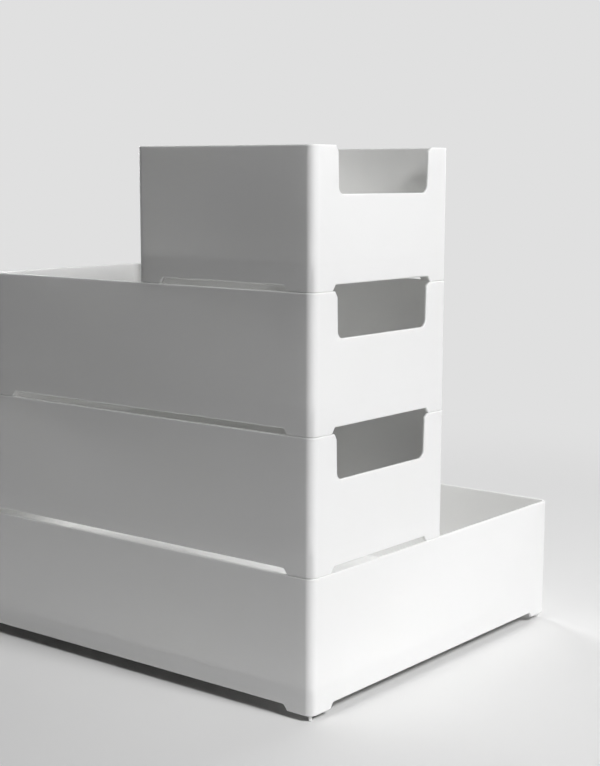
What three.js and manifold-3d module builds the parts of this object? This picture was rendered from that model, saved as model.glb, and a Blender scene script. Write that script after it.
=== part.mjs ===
// A stack of four moulded modular trays, in millimetres, +Z up, fronts facing -Y.
// The wide tray lies at the bottom. A long, a medium and a short bin stand on its left half, one on
// the other, with their fronts in line. The origin is the middle of the stack's footprint, where the
// lowest tray's lugs stand.

import * as THREE from 'three';
import * as BufferGeometryUtils from 'three/addons/utils/BufferGeometryUtils.js';
import Module from 'manifold-3d';

const wasm = await Module();
wasm.setup();

// Driving dimensions of the family: every tray is a whole number of modules wide and long.
const moduleSize = 150;
const trayHeight = 90;
const wallThickness = 2.1;
const cornerRadius = 6;

// The walls lean in a little towards the foot, and the rim's edges are rounded.
const wallDraft = 0.25;
const rimRounding = 0.6;
const floorFillet = 2.5;

// The floor lies high above the foot's edge, so that a tray's contents can stand up under the next.
const floorUnderside = 15;
const floorThickness = 2;

// Between two corner feet the walls end higher, which leaves a shallow notch on every side.
const footLength = 20.5;
const notchHeight = 4;
const notchSlope = 3;
const notchRounding = 1.2;

// The handle cutout in a bin's front wall.
const postWidth = 25.5;
const cutoutDepth = 30;
const cutoutTaper = 0.9;
const cutoutCornerRadius = 5;
const postTopRadius = 2.5;

// A diagonal rib under each corner ends in a lug, which drops inside the rim of the tray below.
const lugDrop = 4;
const lugWidth = 2.2;
const lugLength = 4;
const lugClearance = 0.45;
const lugRounding = 0.5;
const ribRootDepth = 1;

// One overrun serves every cut, and one overlap joins what is moulded together.
const cutOverrun = 5;
const joinOverlap = 0.5;

// How finely round shapes are divided.
const cornerSegments = 8;
const edgeSegments = 2;
const cutoutSegments = 5;

// The trays, from the bottom up: modules wide and long, and whether the front has a cutout.
const trays = [
  { name: 'wide_tray', across: 2, along: 3, cutout: false },
  { name: 'long_bin', across: 1, along: 3, cutout: true },
  { name: 'medium_bin', across: 1, along: 2, cutout: true },
  { name: 'short_bin', across: 1, along: 1, cutout: true },
];

const quarterTurn = Math.PI / 2;
const diagonal = Math.SQRT2;
const innerRadius = cornerRadius - wallThickness;
const floorTop = floorUnderside + floorThickness;

// White moulded plastic with a fine matte texture.
const moulding = { color: 0xf1f1ef, roughness: 0.5, metalness: 0 };

// A closed three.js shape as a solid that can be joined and cut.
function toSolid(geometry) {
  const bare = geometry.clone();
  bare.deleteAttribute('normal');
  bare.deleteAttribute('uv');
  const merged = BufferGeometryUtils.mergeVertices(bare);
  return new wasm.Manifold(new wasm.Mesh({
    numProp: 3,
    vertProperties: new Float32Array(merged.attributes.position.array),
    triVerts: new Uint32Array(merged.index.array),
  }));
}

// The finished solid back as geometry with flat-shaded faces.
function toGeometry(solid) {
  const mesh = solid.getMesh();
  const geometry = new THREE.BufferGeometry();
  geometry.setAttribute('position', new THREE.BufferAttribute(new Float32Array(mesh.vertProperties), mesh.numProp));
  geometry.setIndex(new THREE.BufferAttribute(new Uint32Array(mesh.triVerts), 1));
  geometry.computeVertexNormals();
  return geometry;
}

// An outline with rounded corners, centred on the origin.
function roundedRectangle(width, length, radius) {
  const x = width / 2 - radius;
  const y = length / 2 - radius;
  const shape = new THREE.Shape();
  shape.absarc(x, y, radius, 0, quarterTurn);
  shape.absarc(-x, y, radius, quarterTurn, 2 * quarterTurn);
  shape.absarc(-x, -y, radius, 2 * quarterTurn, 3 * quarterTurn);
  shape.absarc(x, -y, radius, 3 * quarterTurn, 4 * quarterTurn);
  shape.closePath();
  return shape;
}

// The wall's cross-section at a corner, turned round the corner's centre: x is the distance from
// that centre, y the height above the foot's edge. It runs down the outside, round under the foot,
// up the inside of the foot and under the floor, then over the fillet and up to the rim.
function wallSection() {
  const section = new THREE.Path();
  const filletFoot = innerRadius - floorFillet;
  section.moveTo(cornerRadius, trayHeight - rimRounding);
  section.lineTo(cornerRadius - wallDraft, rimRounding);
  section.absarc(cornerRadius - wallDraft - rimRounding, rimRounding, rimRounding, 0, -quarterTurn, true);
  section.lineTo(innerRadius - wallDraft, 0);
  section.lineTo(innerRadius - wallDraft, floorUnderside);
  section.lineTo(filletFoot, floorUnderside);
  section.lineTo(filletFoot, floorTop);
  section.absarc(filletFoot, floorTop + floorFillet, floorFillet, -quarterTurn, 0, false);
  section.lineTo(innerRadius, trayHeight - rimRounding);
  section.absarc(innerRadius + rimRounding, trayHeight - rimRounding, rimRounding, 2 * quarterTurn, quarterTurn, true);
  section.absarc(cornerRadius - rimRounding, trayHeight - rimRounding, rimRounding, quarterTurn, 0, true);
  return section.getPoints(edgeSegments);
}

// The four walls of a tray as one ring. A turned ring is pulled apart into four quarter turns, each
// moved out to its own corner, so that the stretches between them become the straight walls.
function wallRing(width, length) {
  const columns = cornerSegments + 1;
  const profile = wallSection().reverse();
  const ring = new THREE.LatheGeometry(profile, 4 * columns);
  const position = ring.attributes.position;
  const rows = profile.length;
  const middleX = width / 2 - cornerRadius;
  const middleY = length / 2 - cornerRadius;
  for (let i = 0; i < position.count; i += 1) {
    const column = Math.floor(i / rows) % (4 * columns);
    const corner = Math.floor(column / columns);
    const angle = (corner + (column % columns) / cornerSegments) * quarterTurn;
    const point = profile[i % rows];
    const sideX = corner === 0 || corner === 3 ? 1 : -1;
    const sideY = corner < 2 ? 1 : -1;
    const x = sideX * middleX + point.x * Math.cos(angle);
    const y = sideY * middleY + point.x * Math.sin(angle);
    position.setXYZ(i, x, y, point.y);
  }
  return toSolid(ring);
}

// The floor plate, let into the ring's fillet.
function floorPlate(width, length) {
  const reach = cornerRadius - innerRadius + floorFillet - joinOverlap;
  const radius = innerRadius - floorFillet + joinOverlap;
  const outline = roundedRectangle(width - 2 * reach, length - 2 * reach, radius);
  const plate = new THREE.ExtrudeGeometry(outline, {
    depth: floorThickness,
    bevelEnabled: false,
    curveSegments: cornerSegments,
  });
  plate.translate(0, 0, floorUnderside);
  return toSolid(plate);
}

// The diagonal rib and lug under one corner, drawn from the corner's outermost point inwards.
function cornerRib(width, length, sideX, sideY) {
  const outerApex = cornerRadius * diagonal - cornerRadius;
  const innerApex = cornerRadius * diagonal - innerRadius + wallDraft;
  const noseStart = innerApex + lugClearance;
  const ribEnd = noseStart + lugLength;
  const side = new THREE.Shape();
  side.moveTo(outerApex + ribRootDepth, 0);
  side.lineTo(noseStart, 0);
  side.lineTo(noseStart, -lugDrop + lugRounding);
  side.absarc(noseStart + lugRounding, -lugDrop + lugRounding, lugRounding, 2 * quarterTurn, 3 * quarterTurn, false);
  side.absarc(ribEnd - lugRounding, -lugDrop + lugRounding, lugRounding, 3 * quarterTurn, 4 * quarterTurn, false);
  side.lineTo(ribEnd, floorUnderside + joinOverlap);
  side.lineTo(outerApex + ribRootDepth, floorUnderside + joinOverlap);
  side.closePath();
  const rib = new THREE.ExtrudeGeometry(side, {
    depth: lugWidth,
    bevelEnabled: false,
    curveSegments: edgeSegments,
  });
  rib.translate(0, 0, -lugWidth / 2);
  rib.rotateX(quarterTurn);
  rib.rotateZ(Math.atan2(-sideY, -sideX));
  rib.translate(sideX * width / 2, sideY * length / 2, 0);
  return toSolid(rib);
}

// The space between the two feet under a side that runs along X, with sloping ends. It reaches
// across the whole tray, so that one cut serves the opposite side too.
function notchCut(sideLength, reach) {
  const half = sideLength / 2 - footLength;
  const shape = new THREE.Shape();
  shape.moveTo(-half - cutOverrun * notchSlope / notchHeight, -cutOverrun);
  shape.lineTo(half + cutOverrun * notchSlope / notchHeight, -cutOverrun);
  shape.lineTo(half, 0);
  shape.lineTo(half - notchSlope + notchRounding * notchSlope / notchHeight, notchHeight - notchRounding);
  shape.quadraticCurveTo(half - notchSlope, notchHeight, half - notchSlope - notchRounding, notchHeight);
  shape.lineTo(-half + notchSlope + notchRounding, notchHeight);
  shape.quadraticCurveTo(
    -half + notchSlope, notchHeight,
    -half + notchSlope - notchRounding * notchSlope / notchHeight, notchHeight - notchRounding,
  );
  shape.lineTo(-half, 0);
  shape.closePath();
  const depth = reach + 2 * cutOverrun;
  const cut = new THREE.ExtrudeGeometry(shape, { depth, bevelEnabled: false, curveSegments: edgeSegments });
  cut.translate(0, 0, -depth / 2);
  cut.rotateX(quarterTurn);
  return cut;
}

// The notches of all four sides.
function notches(width, length) {
  const frontAndRear = toSolid(notchCut(width, length));
  const sides = toSolid(notchCut(length, width).rotateZ(quarterTurn));
  return frontAndRear.add(sides);
}

// The handle cutout: open at the top, narrower at the sill, with round corners.
function handleCutout(width, length) {
  const top = trayHeight;
  const sill = trayHeight - cutoutDepth;
  const halfTop = width / 2 - postWidth + cutoutTaper / 2;
  const halfSill = width / 2 - postWidth - cutoutTaper / 2;
  const lean = cutoutTaper / cutoutDepth;
  const lowX = halfSill + cutoutCornerRadius * lean;
  const highX = halfTop - postTopRadius * lean;
  const shape = new THREE.Shape();
  shape.moveTo(-halfSill + cutoutCornerRadius, sill);
  shape.lineTo(halfSill - cutoutCornerRadius, sill);
  shape.quadraticCurveTo(halfSill, sill, lowX, sill + cutoutCornerRadius);
  shape.lineTo(highX, top - postTopRadius);
  shape.quadraticCurveTo(halfTop, top, halfTop + postTopRadius, top);
  shape.lineTo(halfTop + postTopRadius, top + cutOverrun);
  shape.lineTo(-halfTop - postTopRadius, top + cutOverrun);
  shape.lineTo(-halfTop - postTopRadius, top);
  shape.quadraticCurveTo(-halfTop, top, -highX, top - postTopRadius);
  shape.lineTo(-lowX, sill + cutoutCornerRadius);
  shape.quadraticCurveTo(-halfSill, sill, -halfSill + cutoutCornerRadius, sill);
  shape.closePath();
  const depth = wallThickness + 2 * cutOverrun;
  const cut = new THREE.ExtrudeGeometry(shape, { depth, bevelEnabled: false, curveSegments: cutoutSegments });
  cut.rotateX(quarterTurn);
  cut.translate(0, -length / 2 - cutOverrun + depth, 0);
  return toSolid(cut);
}

// One whole tray, its foot's edge at height zero.
function tray({ name, across, along, cutout }) {
  const width = across * moduleSize;
  const length = along * moduleSize;
  let solid = wallRing(width, length).add(floorPlate(width, length));
  for (const sideX of [-1, 1]) {
    for (const sideY of [-1, 1]) {
      solid = solid.add(cornerRib(width, length, sideX, sideY));
    }
  }
  solid = solid.subtract(notches(width, length));
  if (cutout) {
    solid = solid.subtract(handleCutout(width, length));
  }
  const mesh = new THREE.Mesh(toGeometry(solid), new THREE.MeshStandardMaterial(moulding));
  mesh.name = name;
  return mesh;
}

// The stack: every tray's left front corner stands over the same corner of the wide tray.
const stack = new THREE.Group();
const footprintWidth = trays[0].across * moduleSize;
const footprintLength = trays[0].along * moduleSize;
trays.forEach((size, level) => {
  const mesh = tray(size);
  mesh.position.set(
    (size.across * moduleSize - footprintWidth) / 2,
    (size.along * moduleSize - footprintLength) / 2,
    lugDrop + level * trayHeight,
  );
  stack.add(mesh);
});

export default stack;
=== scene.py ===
import math

import bpy
import numpy as np
from mathutils import Matrix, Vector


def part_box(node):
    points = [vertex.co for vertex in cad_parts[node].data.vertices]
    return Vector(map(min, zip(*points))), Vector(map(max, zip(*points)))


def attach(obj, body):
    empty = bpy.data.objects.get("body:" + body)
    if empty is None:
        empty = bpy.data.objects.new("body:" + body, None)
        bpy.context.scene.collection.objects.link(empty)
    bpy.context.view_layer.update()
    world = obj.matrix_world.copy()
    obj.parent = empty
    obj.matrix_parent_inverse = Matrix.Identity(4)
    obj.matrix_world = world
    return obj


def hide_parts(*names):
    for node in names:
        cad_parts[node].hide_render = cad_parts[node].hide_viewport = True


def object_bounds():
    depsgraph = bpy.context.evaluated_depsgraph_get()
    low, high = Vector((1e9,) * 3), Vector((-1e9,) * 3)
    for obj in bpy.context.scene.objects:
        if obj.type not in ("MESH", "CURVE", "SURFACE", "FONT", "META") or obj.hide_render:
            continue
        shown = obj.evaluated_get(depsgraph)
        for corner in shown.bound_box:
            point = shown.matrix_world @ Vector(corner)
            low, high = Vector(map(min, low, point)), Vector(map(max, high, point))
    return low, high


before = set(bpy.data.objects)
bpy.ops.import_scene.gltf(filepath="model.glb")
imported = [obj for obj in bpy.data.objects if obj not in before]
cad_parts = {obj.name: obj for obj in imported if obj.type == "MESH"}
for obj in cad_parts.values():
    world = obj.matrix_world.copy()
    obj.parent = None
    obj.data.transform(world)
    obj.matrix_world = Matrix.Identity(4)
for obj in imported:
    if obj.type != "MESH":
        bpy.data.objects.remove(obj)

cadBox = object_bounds()
millimetre = 0.001
print("frame loaded:", len(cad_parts), "trays")


# A hex colour as the linear values that the shaders work in, by the sRGB curve: a straight foot,
# then a power of 2.4.
def toLinear(hexColour):
    srgb = np.array([int(hexColour[i:i + 2], 16) / 255 for i in (1, 3, 5)])
    linear = np.where(srgb <= 0.04045, srgb / 12.92, ((srgb + 0.055) / 1.055) ** 2.4)
    return (*linear.tolist(), 1.0)


# One node with its settings. An input takes a value, or another node's socket as a link.
def addNode(tree, kind, inputs=None, **settings):
    node = tree.nodes.new(kind)
    for name, value in settings.items():
        setattr(node, name, value)
    for name, value in (inputs or {}).items():
        if isinstance(value, bpy.types.NodeSocket):
            tree.links.new(value, node.inputs[name])
        else:
            node.inputs[name].default_value = value
    return node


def newMaterial(name):
    material = bpy.data.materials.new(name)
    material.use_nodes = True
    material.node_tree.nodes.clear()
    return material, material.node_tree


# A mesh object from points and faces: rows of four corners, the last repeated for a triangle.
def newPiece(name, points, faces, material):
    corners = [face[:3] if face[3] == face[2] else face for face in faces.tolist()]
    mesh = bpy.data.meshes.new(name)
    mesh.from_pydata(points.tolist(), [], corners)
    mesh.polygons.foreach_set("use_smooth", np.full(len(mesh.polygons), True))
    mesh.materials.append(material)
    piece = bpy.data.objects.new(name, mesh)
    bpy.context.scene.collection.objects.link(piece)
    return piece


# Faces of a grid whose rows are closed loops: each quad joins two neighbours on one row with the
# same two on the next. A first and a last single point, the poles, close the ends with triangles.
def loopFaces(rows, columns):
    here = np.arange(columns)
    following = np.roll(here, -1)
    start = 1 + np.arange(rows - 1)[:, None] * columns
    quads = np.stack([
        start + here, start + following, start + columns + following, start + columns + here,
    ], 2).reshape(-1, 4)
    lastRow = 1 + (rows - 1) * columns
    lastPole = np.full(columns, lastRow + columns)
    firstFan = np.stack([following + 1, here + 1, np.zeros(columns, int), np.zeros(columns, int)], 1)
    lastFan = np.stack([lastRow + here, lastRow + following, lastPole, lastPole], 1)
    return np.vstack([quads, firstFan, lastFan])


# The same faces with their corners in reverse order, so that they face the other way. A triangle
# keeps its repeated corner last.
def turnedOver(faces):
    triangle = faces[:, 2] == faces[:, 3]
    return np.where(triangle[:, None], faces[:, [1, 0, 2, 2]], faces[:, ::-1])


# Sizes that all four trays share. The floor lies high above the foot, the sides end higher between
# the feet, and a diagonal rib under each corner ends in a lug that drops inside the rim below.
family = {
    "wall": 2.1 * millimetre,
    "cornerRadius": 6 * millimetre,
    "draft": 0.25 * millimetre,  # how far the outside leans in from the rim to the foot
    "rimRound": 0.8 * millimetre,
    "footRound": 0.8 * millimetre,
    "footInnerRound": 0.3 * millimetre,
    "floorUnder": 15 * millimetre,
    "floorThickness": 2 * millimetre,
    "floorFillet": 2.5 * millimetre,
    "undersideFillet": 0.5 * millimetre,
    "footLength": 20.5 * millimetre,
    "notchHeight": 4 * millimetre,
    "notchSlope": 3 * millimetre,
    "notchRound": 1.2 * millimetre,
    "postWidth": 25.5 * millimetre,
    "cutoutDepth": 30 * millimetre,
    "cutoutTaper": 0.9 * millimetre,
    "sillRound": 5 * millimetre,
    "postRound": 2.5 * millimetre,
    "lugDrop": 4 * millimetre,
    "lugWidth": 2.2 * millimetre,
    "lugLength": 4 * millimetre,
    "lugClearance": 0.45 * millimetre,
    "lugRound": 0.4 * millimetre,
    "uprightShare": 0.9,  # how much of that rounding the lug's upright corners get
    "ribRootDepth": 1 * millimetre,  # how much of the wall covers the rib's root
    "ribTopDepth": 0.5 * millimetre,  # how far its top reaches into the floor
    "sinkDepth": 0.035 * millimetre,  # the floor draws a faint hollow into the outside of the walls
    "sinkWidth": 1.6 * millimetre,
}

# How finely the trays are divided.
fineness = {
    "cornerSteps": 14,
    "bendSteps": 8,
    "edgeSteps": 5,
    "columnSpacing": 12 * millimetre,
    "closest": 0.05 * millimetre,
    "support": 0.3 * millimetre,  # a row this far from every bend keeps the flat walls flat
    "farSupport": 20,  # and one more row this many times further from the rim
    "besideCutout": 0.8 * millimetre,
    "sinkRows": 21,
    "sinkReach": 5,  # how many sink widths above and below the floor those rows go
    "floorRings": [0.2, 0.45, 0.7, 0.9],  # shares of the way from the floor's middle to its edge
    "floorEdge": 2,  # how many supports the last ring stays short of the floor's ends
}


# A line through corner points, each corner an arc of its radius that touches both stretches and
# turns through the angle between them. Gives the points and the normals on the line's left.
def roundedLine(corners, radii):
    corner = np.array(corners, float)
    radius = np.array(radii, float)
    run = np.diff(corner, axis=0)
    along = run / np.linalg.norm(run, axis=1)[:, None]
    before, after = along[:-1], along[1:]
    turn = np.arctan2(before[:, 0] * after[:, 1] - before[:, 1] * after[:, 0], (before * after).sum(1))
    signedRadius = (np.sign(turn) * radius)[:, None]
    left = np.stack([-along[:, 1], along[:, 0]], 1)
    reach = (radius * np.tan(np.abs(turn) / 2))[:, None]
    centre = corner[1:-1] - before * reach + left[:-1] * signedRadius
    angle = turn[:, None] * np.linspace(0, 1, fineness["bendSteps"] + 1)
    cosine, sine = np.cos(angle), np.sin(angle)
    nx, ny = left[:-1, 0, None], left[:-1, 1, None]
    normals = np.stack([nx * cosine - ny * sine, nx * sine + ny * cosine], 2)
    points = centre[:, None] - normals * signedRadius[:, None]
    points = np.vstack([corner[:1], points.reshape(-1, 2), corner[-1:]])
    normals = np.vstack([left[:1], normals.reshape(-1, 2), left[-1:]])
    return points, normals


# The lower edge of one side: foot, slope, notch, slope, foot, drawn backwards so that its normals
# point down, then turned round to run forwards again.
def lowerEdge(half, sideLength):
    foot = sideLength / 2 - family["footLength"]
    high, slope, bend = family["notchHeight"], family["notchSlope"], family["notchRound"]
    points, normals = roundedLine(
        [(half, 0), (foot, 0), (foot - slope, high), (-foot + slope, high), (-foot, 0), (-half, 0)],
        [bend] * 4,
    )
    return points[::-1], normals[::-1]


# The upper edge of a side with a handle cutout, and for each of its points the place on the lower
# edge that it pairs with: along by its own length between a few fixed pairs, so that no column of
# the wall crosses the cutout.
def cutoutEdge(half, sideLength, top):
    sill = top - family["cutoutDepth"]
    middle = sideLength / 2 - family["postWidth"]
    wide, narrow = middle + family["cutoutTaper"] / 2, middle - family["cutoutTaper"] / 2
    post, bend = family["postRound"], family["sillRound"]
    points, normals = roundedLine(
        [(-half, top), (-wide, top), (-narrow, sill), (narrow, sill), (wide, top), (half, top)],
        [post, bend, bend, post],
    )
    length = np.concatenate([[0], np.cumsum(np.linalg.norm(np.diff(points, axis=0), axis=1))])
    arc = fineness["bendSteps"] + 1
    fixed = [0, 1, 1 + arc, 2 * arc, 1 + 2 * arc, 3 * arc, 4 * arc, 1 + 4 * arc]  # ends of arcs and line
    beside = narrow + fineness["besideCutout"]
    places = [-half, points[1, 0], -beside, points[2 * arc, 0]]
    places = np.array(places + [-p for p in reversed(places)])
    return points, normals, np.interp(length, length[fixed], places)


# The columns of one side: matching points and outward normals on its upper and lower edges.
def sideColumns(sideLength, top, hasCutout):
    half = sideLength / 2 - family["cornerRadius"]
    lower, lowerNormal = lowerEdge(half, sideLength)
    if hasCutout:
        upper, upperNormal, upperPlace = cutoutEdge(half, sideLength, top)
    else:
        upper = np.array([(-half, top), (half, top)])
        upperNormal = np.array([(0.0, 1.0), (0.0, 1.0)])
        upperPlace = upper[:, 0]
    spaced = np.linspace(-half, half, max(2, round(2 * half / fineness["columnSpacing"])))
    place = np.unique(np.concatenate([lower[:, 0], upperPlace, spaced]))
    place = place[np.concatenate([[True], np.diff(place) > fineness["closest"]])]
    place[0], place[-1] = -half, half

    def at(places, values):
        return np.stack([np.interp(place, places, values[:, i]) for i in (0, 1)], 1)

    columns = [
        at(upperPlace, upper), at(upperPlace, upperNormal),
        at(lower[:, 0], lower), at(lower[:, 0], lowerNormal),
    ]
    for normal in (columns[1], columns[3]):
        normal /= np.linalg.norm(normal, axis=1)[:, None]
    for edge in (columns[0], columns[2]):
        edge[:, 0] += half
    return columns


# All columns round a tray, anticlockwise from the front's left end: four sides with a quarter turn
# after each. Distances run on from side to side.
def trayColumns(width, length, top, hasCutout):
    radius = family["cornerRadius"]
    parts = []
    start = 0.0
    for side, sideLength in enumerate((width, length, width, length)):
        upper, upperNormal, lower, lowerNormal = sideColumns(sideLength, top, hasCutout and side == 0)
        straight = sideLength - 2 * radius
        turn = np.linspace(0, radius * math.pi / 2, fineness["cornerSteps"] + 1)[1:-1, None] + straight
        flat = np.zeros_like(turn)
        upper = np.vstack([upper, np.hstack([turn, flat + top])])
        lower = np.vstack([lower, np.hstack([turn, flat])])
        upperNormal = np.vstack([upperNormal, np.hstack([flat, flat + 1])])
        lowerNormal = np.vstack([lowerNormal, np.hstack([flat, flat - 1])])
        upper[:, 0] += start
        lower[:, 0] += start
        parts.append((upper, upperNormal, lower, lowerNormal))
        start += straight + radius * math.pi / 2
    return [np.vstack([part[i] for part in parts]) for i in range(4)]


# A place on the wall from its distance along the outline and its depth inwards: on a straight
# stretch it is shifted back from the next corner, in a corner it turns about the corner's centre,
# at the corner radius less the depth.
def onWall(distance, depth, width, length):
    radius = family["cornerRadius"]
    straights = np.array([width, length, width, length]) - 2 * radius
    quarter = radius * math.pi / 2
    ends = np.cumsum(np.stack([straights, np.full(4, quarter)], 1).ravel())
    stretch = np.minimum(np.searchsorted(ends, distance, side="right"), len(ends) - 1)
    side, inCorner = stretch // 2, stretch % 2
    centre = np.array([(1, -1), (1, 1), (-1, 1), (-1, -1)]) * (width / 2 - radius, length / 2 - radius)
    straightEnd = ends[2 * side]
    facing = (side - 1) * math.pi / 2
    angle = facing + inCorner * (distance - straightEnd) / radius
    back = (1 - inCorner) * (straightEnd - distance)
    x = centre[side, 0] + (radius - depth) * np.cos(angle) + back * np.sin(facing)
    y = centre[side, 1] + (radius - depth) * np.sin(angle) - back * np.cos(facing)
    return x, y


# The shell of a tray as one closed grid. Every column is the wall's section at one place: from the
# floor's middle out to the wall, over a fillet, up the inside, over the rounded rim, down the
# outside, round the foot and under the floor back to its middle. The edge roundings are quarter
# circles across the wall, laid off square to the edge, so that they follow the cutout and notches.
def trayShell(width, length, top, hasCutout):
    upper, upperNormal, lower, lowerNormal = trayColumns(width, length, top, hasCutout)
    wall, draft, fillet = family["wall"], family["draft"], family["floorFillet"]
    floorTop = family["floorUnder"] + family["floorThickness"]
    floorMiddle = (floorTop + family["floorUnder"]) / 2
    quarterTurn = np.linspace(0, math.pi / 2, fineness["edgeSteps"] + 1)
    support = fineness["support"]
    farSupport = fineness["farSupport"] * support
    flat = np.zeros(len(upper))
    rows = []

    # Inside the walls stand straight, above the floor and below it.
    def innerDepth(height):
        return wall

    def underDepth(height):
        return wall + draft

    # Outside they lean in evenly from the rim to the foot, and a bell curve of the height about the
    # floor's middle adds the sink line.
    def outerDepth(height):
        dent = family["sinkDepth"] * np.exp(-((height - floorMiddle) / family["sinkWidth"]) ** 2)
        return draft * (1 - height / top) + dent

    def add(edge, depth):  # edge holds distances and heights, depth is counted from the outline
        rows.append((edge[:, 0], flat + depth, edge[:, 1]))

    def level(height):
        return np.stack([lower[:, 0], flat + height], 1)

    def towards(first, last, gap):  # the row that lies a given gap before the last edge
        span = np.linalg.norm(last - first, axis=1)[:, None]
        return last - (last - first) * gap / span

    def roundOff(edge, normal, radius, angles, depthOf, sign):  # one quarter circle from or to a face
        for angle in angles:
            row = edge - normal * radius * (1 - math.sin(angle))
            add(row, depthOf(row[:, 1]) + sign * radius * (1 - math.cos(angle)))

    for angle in quarterTurn:
        add(level(floorTop + fillet * (1 - math.cos(angle))), wall + fillet * (1 - math.sin(angle)))
    filletEnd = level(floorTop + fillet)
    rimRound = family["rimRound"]
    rimStart = upper - upperNormal * rimRound
    add(level(floorTop + fillet + support), wall)
    for gap in (farSupport, support):
        add(towards(filletEnd, rimStart, gap), wall)
    roundOff(upper, upperNormal, rimRound, quarterTurn, innerDepth, -1)
    roundOff(upper, upperNormal, rimRound, quarterTurn[::-1], outerDepth, 1)

    sinkTop = floorMiddle + fineness["sinkReach"] * family["sinkWidth"]
    sinkBottom = 2 * floorMiddle - sinkTop
    for gap in (support, farSupport):
        edge = towards(level(sinkTop), rimStart, gap)
        add(edge, outerDepth(edge[:, 1]))
    for height in np.linspace(sinkTop, sinkBottom, fineness["sinkRows"]):
        add(level(height), outerDepth(height))

    footRound, innerRound = family["footRound"], family["footInnerRound"]
    edge = towards(level(sinkBottom), lower - lowerNormal * footRound, support)
    add(edge, outerDepth(edge[:, 1]))
    roundOff(lower, lowerNormal, footRound, quarterTurn, outerDepth, 1)
    roundOff(lower, lowerNormal, innerRound, quarterTurn[::-1], underDepth, -1)

    corner = family["undersideFillet"]
    filletStart = family["floorUnder"] - corner
    add(towards(level(filletStart), lower - lowerNormal * innerRound, support), wall + draft)
    add(level(filletStart - support), wall + draft)
    for angle in quarterTurn:
        height = family["floorUnder"] - corner * (1 - math.sin(angle))
        add(level(height), wall + draft + corner * (1 - math.cos(angle)))

    distance, depth, height = (np.array([row[i] for row in rows]) for i in range(3))
    x, y = onWall(distance, depth, width, length)
    grid = np.stack([x, y, height], 2)

    def inwards(loop, shares):  # the floor's rows: the loop drawn in towards the tray's middle
        shares = np.array(shares)[:, None, None]
        return loop * np.concatenate([shares, shares, np.ones_like(shares)], 2)

    lastShare = 1 - fineness["floorEdge"] * support / (length / 2)
    shares = fineness["floorRings"] + [lastShare]
    grid = np.concatenate([inwards(grid[0], shares), grid, inwards(grid[-1], shares[::-1])])
    middles = np.array([(0, 0, floorTop), (0, 0, family["floorUnder"])])
    points = np.vstack([middles[:1], grid.reshape(-1, 3), middles[1:]])
    return points, loopFaces(grid.shape[0], grid.shape[1])


# One corner rib with its lug: rounded rectangles on top of one another, standing on the diagonal.
# Each corner of a rectangle is a quarter circle; towards the lug's tip the outline draws in along
# another quarter circle. Above the foot's edge the outline reaches out into the wall.
def cornerRib(sideX, sideY, width, length):
    outer = family["cornerRadius"] * (math.sqrt(2) - 1)
    inner = outer + family["wall"] + family["draft"]
    nose = (inner + family["lugClearance"], inner + family["lugClearance"] + family["lugLength"])
    root = (outer + family["ribRootDepth"], nose[1])
    bend, drop = family["lugRound"], family["lugDrop"]
    tip = np.linspace(0, math.pi / 2, fineness["edgeSteps"] + 1)
    inset = np.concatenate([bend * (1 - np.sin(tip)), [0, 0, 0, 0]])
    height = np.concatenate([-drop + bend * (1 - np.cos(tip)), [
        -fineness["support"], 0, 0, family["floorUnder"] + family["ribTopDepth"],
    ]])
    start = np.concatenate([np.full(len(tip) + 2, nose[0]), np.full(2, root[0])])
    end = np.full(len(height), nose[1])
    angle = (tip + np.arange(4)[:, None] * math.pi / 2).ravel()
    quadrant = np.repeat(np.arange(4), fineness["edgeSteps"] + 1)
    signU = np.where((quadrant == 0) | (quadrant == 3), 1, -1)
    signV = np.where(quadrant < 2, 1, -1)
    halfLength = ((end - start) / 2 - inset)[:, None]
    halfWidth = (family["lugWidth"] / 2 - inset)[:, None]
    rounding = bend * family["uprightShare"]
    u = ((start + end) / 2)[:, None] + signU * (halfLength - rounding) + rounding * np.cos(angle)
    v = signV * (halfWidth - rounding) + rounding * np.sin(angle)
    diagonal = math.sqrt(0.5)
    x = sideX * (width / 2 - (u - v * sideX * sideY) * diagonal)
    y = sideY * (length / 2 - (u + v * sideX * sideY) * diagonal)
    grid = np.stack([x, y, np.broadcast_to(height[:, None], x.shape)], 2)
    points = np.vstack([grid[0].mean(0), grid.reshape(-1, 3), grid[-1].mean(0)])
    return points, loopFaces(grid.shape[0], grid.shape[1])


# Closed surfaces have their faces turned outwards: their volume, the sum over the faces of a
# corner's product with the face's area vector, has to be positive.
def facingOut(points, faces):
    a, b, c, d = (points[faces[:, i]] for i in range(4))
    return faces if np.einsum("ij,ij->", a, np.cross(c - a, d - b)) > 0 else turnedOver(faces)


# Injection-moulded ABS from a spark-eroded steel mould: white, a little translucent, with a fine
# matte grain that leaves soft broad highlights and no mirror image.
plastic = {
    "colour": "#F9F9F7",
    "shadeColour": "#F6F6F4",  # where the melt flowed thinner
    "flowSize": 60 * millimetre,
    "flowDetail": 3.0,
    "flowGain": 0.5,
    "grainSize": 0.8 * millimetre,  # the real grain is about 0.1, drawn as coarse as it needs to show
    "grainDetail": 2.0,
    "grainGain": 0.6,
    "grainDepth": 0.012 * millimetre,
    "roughness": 0.46,
    "roughnessSpread": 0.06,
    "ior": 1.54,
    "lightReach": 1.5 * millimetre,  # how far light wanders inside, so that thin walls glow a little
}


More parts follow.
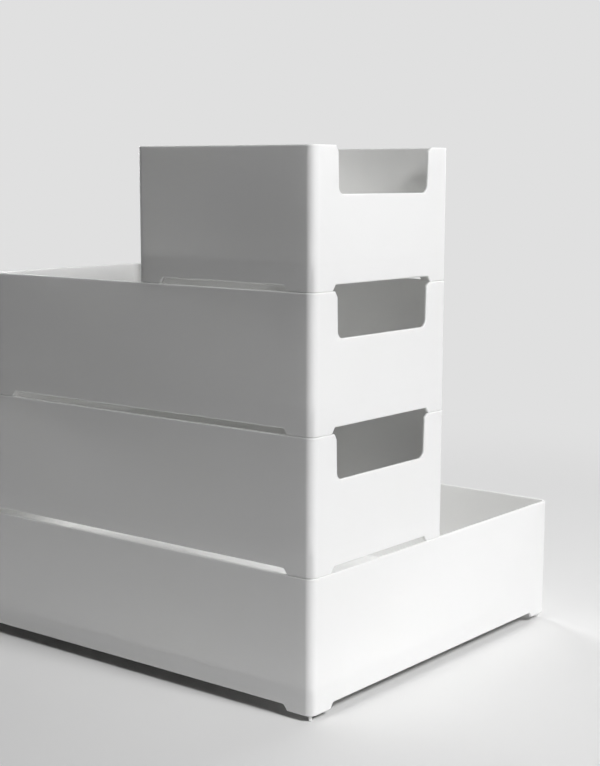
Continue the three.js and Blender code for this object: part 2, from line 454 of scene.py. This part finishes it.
# One noise, the flow, mixes the two colours and spreads the roughness; the other, the grain, lifts
# the surface by its depth.
def mouldedPlastic():
    material, tree = newMaterial("injection_moulded_abs_white")
    place = addNode(tree, "ShaderNodeTexCoord").outputs["Object"]
    flow = addNode(tree, "ShaderNodeTexNoise", {
        "Vector": place,
        "Scale": 1 / plastic["flowSize"],
        "Detail": plastic["flowDetail"],
        "Roughness": plastic["flowGain"],
    }).outputs["Fac"]
    grain = addNode(tree, "ShaderNodeTexNoise", {
        "Vector": place,
        "Scale": 1 / plastic["grainSize"],
        "Detail": plastic["grainDetail"],
        "Roughness": plastic["grainGain"],
    }).outputs["Fac"]
    colour = addNode(tree, "ShaderNodeMix", {
        "Factor": flow, "A": toLinear(plastic["shadeColour"]), "B": toLinear(plastic["colour"]),
    }, data_type="RGBA")
    roughness = addNode(tree, "ShaderNodeMapRange", {
        "Value": flow,
        "To Min": plastic["roughness"] - plastic["roughnessSpread"],
        "To Max": plastic["roughness"] + plastic["roughnessSpread"],
    })
    bump = addNode(tree, "ShaderNodeBump", {
        "Height": grain, "Distance": plastic["grainDepth"], "Strength": 1.0,
    })
    shader = addNode(tree, "ShaderNodeBsdfPrincipled", {
        "Base Color": colour.outputs["Result"],
        "Roughness": roughness.outputs["Result"],
        "IOR": plastic["ior"],
        "Subsurface Weight": 1.0,
        "Subsurface Radius": (1.0, 1.0, 1.0),
        "Subsurface Scale": plastic["lightReach"],
        "Normal": bump.outputs["Normal"],
    })
    addNode(tree, "ShaderNodeOutputMaterial", {"Surface": shader.outputs["BSDF"]})
    return material


white = mouldedPlastic()
print("plastic ready")

# The trays from the bottom up, and which have a handle cutout.
trays = [
    {"node": "wide_tray", "body": "wide", "cutout": False},
    {"node": "long_bin", "body": "long", "cutout": True},
    {"node": "medium_bin", "body": "medium", "cutout": True},
    {"node": "short_bin", "body": "short", "cutout": True},
]


def makeTray(tray):
    low, high = (np.array(corner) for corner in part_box(tray["node"]))
    width, length = high[0] - low[0], high[1] - low[1]
    foot = np.array([(low[0] + high[0]) / 2, (low[1] + high[1]) / 2, low[2] + family["lugDrop"]])
    surfaces = [trayShell(width, length, high[2] - foot[2], tray["cutout"])]
    surfaces += [cornerRib(x, y, width, length) for x in (-1, 1) for y in (-1, 1)]
    points, faces, count = [], [], 0
    for surfacePoints, surfaceFaces in surfaces:
        points.append(surfacePoints + foot)
        faces.append(facingOut(surfacePoints, surfaceFaces) + count)
        count += len(surfacePoints)
    piece = newPiece(tray["node"] + "_moulding", np.vstack(points), np.vstack(faces), white)
    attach(piece, tray["body"])
    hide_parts(tray["node"])
    print(tray["node"], "made:", len(piece.data.polygons), "faces")


for tray in trays:
    makeTray(tray)


# The stage: a matte floor that fades, some way out, into the pale surround.
stage = {
    "floorRadius": 6.0,
    "innerRing": 0.2,  # share of that radius
    "rings": 6,
    "steps": 96,
    "floorColour": "#ECECEC",
    "floorRoughness": 0.75,
    "floorGloss": 0.2,
    "surround": "#E0E0E0",
    "beyond": "#202020",  # the floor's far part, for light that meets it
    "fadeFrom": 0.5,
    "fadeTo": 1.0,
}


# True for the rays that see the pale surround: from the camera, or by way of gloss or glass.
def seesSurround(tree):
    path = addNode(tree, "ShaderNodeLightPath")
    seen = path.outputs["Is Camera Ray"]
    for kind in ("Is Glossy Ray", "Is Transmission Ray"):
        either = addNode(tree, "ShaderNodeMath", {0: seen, 1: path.outputs[kind]}, operation="MAXIMUM")
        seen = either.outputs[0]
    return seen


# Matte paint, an even pale shade with hardly any gloss. With distance from the object it gives way
# to the surround where that is seen, or else to a dark matte colour.
def floorPaint():
    material, tree = newMaterial("matte_floor_paint")
    place = addNode(tree, "ShaderNodeTexCoord").outputs["Object"]
    distance = addNode(tree, "ShaderNodeVectorMath", {0: place}, operation="LENGTH").outputs["Value"]
    fade = addNode(tree, "ShaderNodeMapRange", {
        "Value": distance, "From Min": stage["fadeFrom"], "From Max": stage["fadeTo"],
    }, interpolation_type="SMOOTHSTEP").outputs["Result"]
    near = addNode(tree, "ShaderNodeBsdfPrincipled", {
        "Base Color": toLinear(stage["floorColour"]),
        "Roughness": stage["floorRoughness"],
        "Specular IOR Level": stage["floorGloss"],
    })
    dark = addNode(tree, "ShaderNodeBsdfDiffuse", {"Color": toLinear(stage["beyond"])})
    pale = addNode(tree, "ShaderNodeEmission", {"Color": toLinear(stage["surround"])})
    far = addNode(tree, "ShaderNodeMixShader", {
        0: seesSurround(tree), 1: dark.outputs[0], 2: pale.outputs[0],
    })
    both = addNode(tree, "ShaderNodeMixShader", {0: fade, 1: near.outputs[0], 2: far.outputs[0]})
    addNode(tree, "ShaderNodeOutputMaterial", {"Surface": both.outputs[0]})
    return material


# A round floor: rings of growing radius about the middle. The grid's last pole is left out, and its
# faces, which look down, are turned over.
def makeFloor():
    ring = np.linspace(stage["innerRing"], 1, stage["rings"])[:, None] * stage["floorRadius"]
    turn = np.linspace(0, 2 * math.pi, stage["steps"], endpoint=False)
    grid = np.stack([ring * np.cos(turn), ring * np.sin(turn), ring * 0 * turn], 2)
    points = np.vstack([np.zeros((1, 3)), grid.reshape(-1, 3)])
    faces = loopFaces(grid.shape[0], grid.shape[1])
    faces = faces[(faces < len(points)).all(1)]
    newPiece("floor", points, turnedOver(faces), floorPaint())
    print("floor made")


makeFloor()


# Right, up and back of something that looks at the object. Its bearing is counted from the front
# towards the right, its rise from the level, both in degrees.
def axesAt(bearing, rise):
    bearing, rise = math.radians(bearing), math.radians(rise)
    level = math.cos(rise)
    back = np.array([math.sin(bearing) * level, -math.cos(bearing) * level, math.sin(rise)])
    right = np.array([math.cos(bearing), math.sin(bearing), 0.0])
    return right, np.cross(back, right), back


def matrixOf(right, up, back, place):
    return Matrix(np.vstack([np.column_stack([right, up, back, place]), (0, 0, 0, 1)]).tolist())


# Soft light: a strong lamp before the fronts, one behind, and faint ones beside and above. Sizes
# are in metres, powers in watts.
lamps = {
    "front": {"bearing": -8, "rise": 36, "size": 0.6, "power": 42.7},
    "right": {"bearing": 84, "rise": 14, "size": 0.7, "power": 10},
    "rear": {"bearing": 149, "rise": 13, "size": 0.6, "power": 32},
    "top": {"bearing": -30, "rise": 84, "size": 0.7, "power": 4.5},
}
lampDistance = 2.3


def addLamp(name, bearing, rise, size, power):  # a square lamp that faces the middle of the object
    right, up, back = axesAt(bearing, rise)
    middle = (np.array(cadBox[0]) + np.array(cadBox[1])) / 2
    data = bpy.data.lights.new(name, "AREA")
    data.size, data.energy = size, power
    lamp = bpy.data.objects.new(name, data)
    lamp.matrix_world = matrixOf(right, up, back, middle + back * lampDistance)
    lamp.visible_camera = False
    bpy.context.scene.collection.objects.link(lamp)


for name, lamp in lamps.items():
    addLamp(name + "_lamp", **lamp)


def addWorld():  # pale where it is seen, and no light of its own
    world = bpy.data.worlds.new("room")
    world.use_nodes = True
    tree = world.node_tree
    tree.nodes.clear()
    dark = addNode(tree, "ShaderNodeBackground", {"Strength": 0.0})
    pale = addNode(tree, "ShaderNodeBackground", {"Color": toLinear(stage["surround"])})
    both = addNode(tree, "ShaderNodeMixShader", {
        0: seesSurround(tree), 1: dark.outputs[0], 2: pale.outputs[0],
    })
    addNode(tree, "ShaderNodeOutputWorld", {"Surface": both.outputs[0]})
    bpy.context.scene.world = world


addWorld()
print("lights set")

# The camera, fitted to the edges of the trays in the photograph: it stands left of the fronts, a
# little above the stack's middle, and looks slightly down.
view = {
    "place": (-0.8602, -0.7789, 0.3462),
    "bearing": -51.547,
    "rise": 8.040,
    "roll": 0.164,
    "lens": 69.59,
}


def addCamera():
    right, up, back = axesAt(view["bearing"], view["rise"])
    roll = math.radians(view["roll"])
    tilted = math.cos(roll) * right + math.sin(roll) * up
    upright = math.cos(roll) * up - math.sin(roll) * right
    data = bpy.data.cameras.new("camera")
    data.lens = view["lens"]
    camera = bpy.data.objects.new("camera", data)
    camera.matrix_world = matrixOf(tilted, upright, back, view["place"])
    bpy.context.scene.collection.objects.link(camera)
    bpy.context.scene.camera = camera


addCamera()
bpy.context.scene.view_settings.view_transform = "Standard"
print("camera set")
